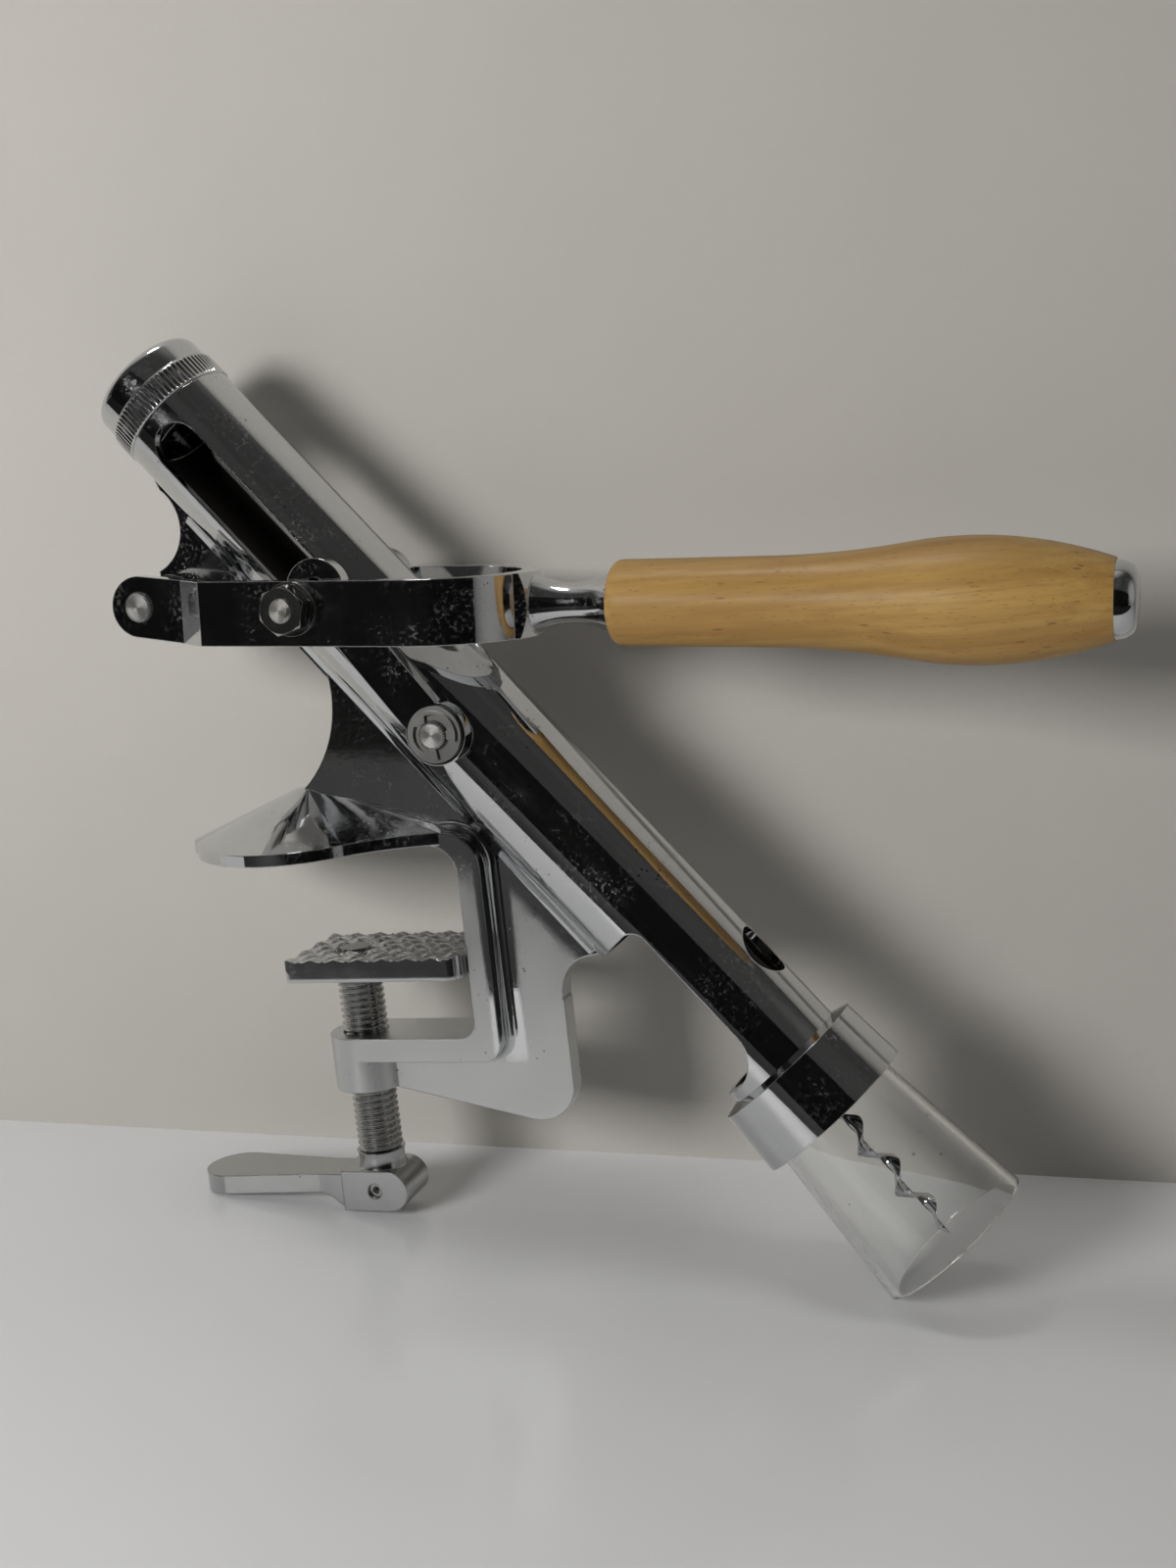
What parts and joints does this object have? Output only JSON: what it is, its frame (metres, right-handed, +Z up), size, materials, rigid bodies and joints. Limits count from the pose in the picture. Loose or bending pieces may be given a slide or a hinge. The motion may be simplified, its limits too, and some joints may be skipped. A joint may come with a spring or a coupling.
{
  "type": "counter mount corkscrew",
  "caption": "Lever corkscrew that clamps to a counter: slanted barrel on a C-frame casting, forked lever with a turned grip, helical worm inside a flared bottle cup.",
  "frame": {"origin": "where the clamp screw's axis meets the flat underside of the upper jaw, which sits on the counter", "axes": "+X along the lowered lever towards the grip's end, +Y across to the far side, +Z up; the mid-plane is Y = 0"},
  "size_m": [0.2573, 0.0646, 0.2508],
  "materials": {
    "chrome": "polished chrome plate on cast metal",
    "steel": "zinc-plated or bare steel",
    "bronze": "machined bronze",
    "wood": "lacquered turned hardwood",
    "clear_plastic": "clear moulded plastic"
  },
  "bodies": {
    "frame": {"barrel_casting": "chrome", "barrel_end_cap": "chrome", "neck_collar": "chrome", "bottle_cup": "clear_plastic", "spindle_nut": "bronze"},
    "lever": {"lever_fork": "chrome", "wood_grip": "wood", "grip_end_cap": "chrome", "rear_pivot_pin": "chrome", "link_stud_near": "steel", "link_stud_far": "steel", "stud_nut_near": "steel", "stud_nut_far": "steel", "stud_washer_near": "steel", "stud_washer_far": "steel"},
    "carriage": {"carriage": "steel", "carriage_pin": "steel", "slot_bushing_near": "bronze", "slot_bushing_far": "bronze", "pin_washer_near": "steel", "pin_washer_far": "steel", "pin_clip_near": "steel", "pin_clip_far": "steel", "spindle_retainer": "steel", "thrust_washer": "steel"},
    "links": {"link_near": "chrome", "link_far": "chrome"},
    "spindle": {"spindle": "steel", "worm": "steel"},
    "jaw": {"jaw_plate": "chrome"},
    "clamp_screw": {"clamp_screw": "steel", "screw_tip_clip": "steel", "clamp_crank": "chrome", "crank_pin": "steel"}
  },
  "joints": [
    {"name": "lever_raise", "type": "hinge", "parent": "frame", "child": "lever", "pos_m": [-0.0393, 0, 0.0665], "axis": [0, -1, 0], "range_deg": [0, 110]},
    {"name": "carriage_slide", "type": "slide", "parent": "frame", "child": "carriage", "axis": [-0.6428, 0, 0.766], "range_m": [0, 0.07858]},
    {"name": "link_swing", "type": "hinge", "parent": "carriage", "child": "links", "pos_m": [0.03933, 0, 0.02957], "axis": [0, -1, 0], "range_deg": [0, 13.25]},
    {"name": "spindle_turn", "type": "hinge", "parent": "carriage", "child": "spindle", "pos_m": [0.04705, 0, 0.02038], "axis": [-0.6428, 0, 0.766], "range_deg": [0, 2177.1]},
    {"name": "jaw_slide", "type": "slide", "parent": "frame", "child": "jaw", "axis": [0, 0, 1], "range_m": [-0.0134, 0.0135]},
    {"name": "clamp_turn", "type": "hinge", "parent": "jaw", "child": "clamp_screw", "pos_m": [0, 0, -0.05], "axis": [0, 0, 1], "range_deg": [-2757.6, 2778.1]}
  ],
  "couplings": [
    {"joint": "carriage_slide", "follows": "lever_raise", "m_per_rad": 0.04093},
    {"joint": "link_swing", "follows": "lever_raise", "ratio": 0.12},
    {"joint": "spindle_turn", "follows": "lever_raise", "ratio": 19.782},
    {"joint": "clamp_turn", "follows": "jaw_slide", "rad_per_m": 3590.4}
  ]
}
